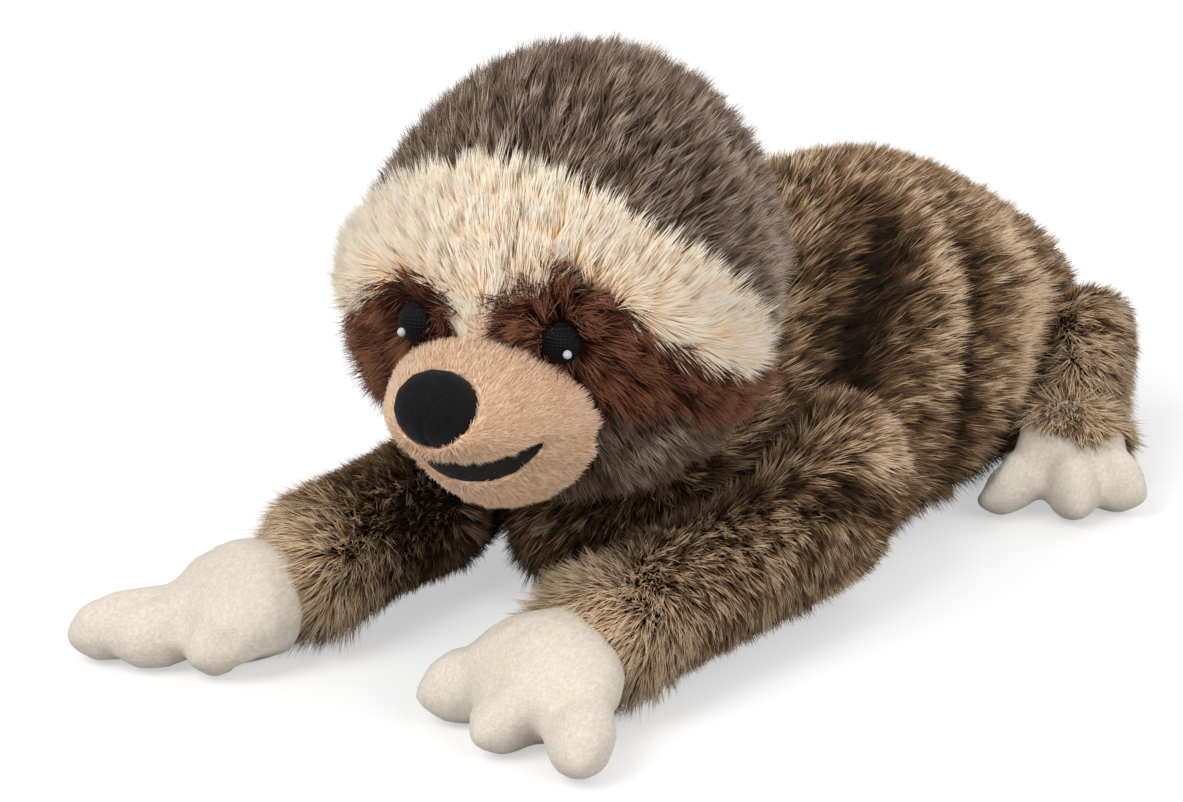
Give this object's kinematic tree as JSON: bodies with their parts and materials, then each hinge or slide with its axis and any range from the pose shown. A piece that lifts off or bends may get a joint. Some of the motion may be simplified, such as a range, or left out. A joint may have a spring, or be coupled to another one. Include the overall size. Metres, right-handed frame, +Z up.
{
  "type": "stuffed toy sloth",
  "caption": "Long-pile stuffed toy animal lying on its belly, with a big round head, a pale brow band, stretched fur arms and three-toed cream plush hands and feet.",
  "frame": {"origin": "on the floor, under the middle of the toy's box", "axes": "+Z up, -Y toward the face and hands, +X toward the toy's own left"},
  "size_m": [0.1838, 0.3402, 0.1587],
  "materials": {
    "fur": "long-pile fake fur, grey-brown with golden tips",
    "cream_pile": "long cream pile",
    "chocolate_pile": "long dark brown pile",
    "tan_plush": "short-nap plush",
    "cream_plush": "short-nap plush",
    "black_felt": "flat felt",
    "black_velour": "velour",
    "black_thread": "padded satin-stitch embroidery",
    "white_thread": "satin-stitch embroidery",
    "fibre": "polyester fibre filling"
  },
  "bodies": {
    "torso": {"torso_skin": "fur", "torso_filling": "fibre"},
    "neck": {"neck_filling": "fibre"},
    "head": {"head_skin": "fur", "head_filling": "fibre", "brow_band": "cream_pile", "muzzle_skin": "tan_plush", "chin_skin": "tan_plush", "mouth": "black_felt", "muzzle_filling": "fibre", "nose": "black_velour", "eye_patch_left": "chocolate_pile", "eye_patch_right": "chocolate_pile", "eye_left": "black_thread", "eye_right": "black_thread", "eye_glint_left": "white_thread", "eye_glint_right": "white_thread"},
    "arm_left": {"arm_left_skin": "fur", "arm_left_filling": "fibre"},
    "hand_left": {"hand_left": "cream_plush"},
    "arm_right": {"arm_right_skin": "fur", "arm_right_filling": "fibre"},
    "hand_right": {"hand_right": "cream_plush"},
    "leg_left": {"leg_left_skin": "fur", "leg_left_filling": "fibre"},
    "foot_left": {"foot_left": "cream_plush"},
    "leg_right": {"leg_right_skin": "fur", "leg_right_filling": "fibre"},
    "foot_right": {"foot_right": "cream_plush"}
  },
  "joints": [
    {"name": "head_turn", "type": "hinge", "parent": "torso", "child": "neck", "pos_m": [0, -0.02197, 0.06599], "axis": [0, 0, 1], "range_deg": [-16, 8], "stiffness_Nm_per_rad": 1.5},
    {"name": "head_nod", "type": "hinge", "parent": "neck", "child": "head", "pos_m": [0, -0.02197, 0.06599], "axis": [-0.9636, -0.2672, 0], "range_deg": [-2, 12], "stiffness_Nm_per_rad": 1.5},
    {"name": "arm_left_swing", "type": "hinge", "parent": "torso", "child": "arm_left", "pos_m": [0.04102, -0.00294, 0.03801], "axis": [0, 0, 1], "range_deg": [-2, 30], "stiffness_Nm_per_rad": 1},
    {"name": "arm_right_swing", "type": "hinge", "parent": "torso", "child": "arm_right", "pos_m": [-0.04102, -0.00294, 0.03801], "axis": [0, 0, -1], "range_deg": [-2, 30], "stiffness_Nm_per_rad": 1},
    {"name": "hand_left_flex", "type": "hinge", "parent": "arm_left", "child": "hand_left", "pos_m": [0.03853, -0.11291, 0.0175], "axis": [-0.9998, -0.0174, 0], "range_deg": [-5, 12], "stiffness_Nm_per_rad": 0.5},
    {"name": "hand_right_flex", "type": "hinge", "parent": "arm_right", "child": "hand_right", "pos_m": [-0.04656, -0.12481, 0.0175], "axis": [-0.8729, 0.4879, 0], "range_deg": [-5, 12], "stiffness_Nm_per_rad": 0.5},
    {"name": "leg_left_swing", "type": "hinge", "parent": "torso", "child": "leg_left", "pos_m": [0.03403, 0.12394, 0.03199], "axis": [0, 0, 1], "range_deg": [-4, 20], "stiffness_Nm_per_rad": 1},
    {"name": "leg_right_swing", "type": "hinge", "parent": "torso", "child": "leg_right", "pos_m": [-0.03403, 0.12394, 0.03199], "axis": [0, 0, -1], "range_deg": [-4, 20], "stiffness_Nm_per_rad": 1},
    {"name": "foot_left_flex", "type": "hinge", "parent": "leg_left", "child": "foot_left", "pos_m": [0.05955, 0.09185, 0.0175], "axis": [-0.7826, -0.6225, 0], "range_deg": [-5, 12], "stiffness_Nm_per_rad": 0.5},
    {"name": "foot_right_flex", "type": "hinge", "parent": "leg_right", "child": "foot_right", "pos_m": [-0.05955, 0.09185, 0.0175], "axis": [-0.7826, 0.6225, 0], "range_deg": [-5, 12], "stiffness_Nm_per_rad": 0.5}
  ]
}
